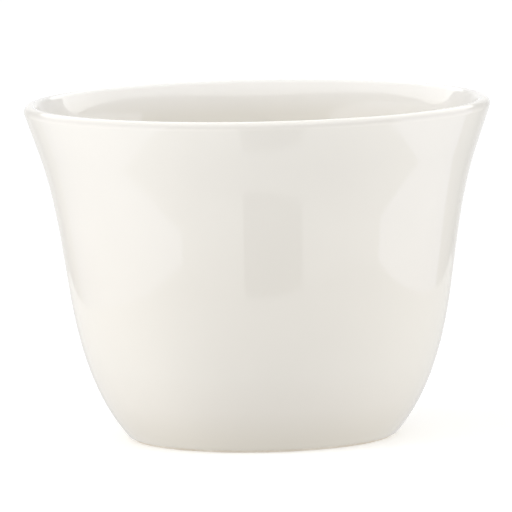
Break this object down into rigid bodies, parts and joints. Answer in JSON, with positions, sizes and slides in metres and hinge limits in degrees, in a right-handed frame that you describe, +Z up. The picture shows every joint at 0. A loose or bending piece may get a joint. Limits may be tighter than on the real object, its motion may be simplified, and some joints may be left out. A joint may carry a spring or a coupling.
{
  "type": "arabic coffee cup",
  "caption": "Small handle-less porcelain coffee cup: a bell that flares to a round lip, glazed inside and out over a fired clay body with a bare foot ring.",
  "frame": {"origin": "centre of the foot ring, on the plane that the cup stands on", "axes": "+Z up the cup's axis of revolution, from the foot to the rim; X and Y are any two directions across it"},
  "size_m": [0.065, 0.065, 0.0471],
  "materials": {
    "fired_clay": "bare matte porcelain body, slightly warm and sanded smooth at the foot ring",
    "inside_glaze": "clear glossy glaze over off-white porcelain",
    "outside_glaze": "clear glossy glaze over off-white porcelain",
    "foot_glaze": "clear glossy glaze, a little thinner and less even than on the wall"
  },
  "bodies": {
    "root": {"biscuit_body": "fired_clay", "inside_glaze": "inside_glaze", "outside_glaze": "outside_glaze", "foot_recess_glaze": "foot_glaze"}
  },
  "joints": []
}
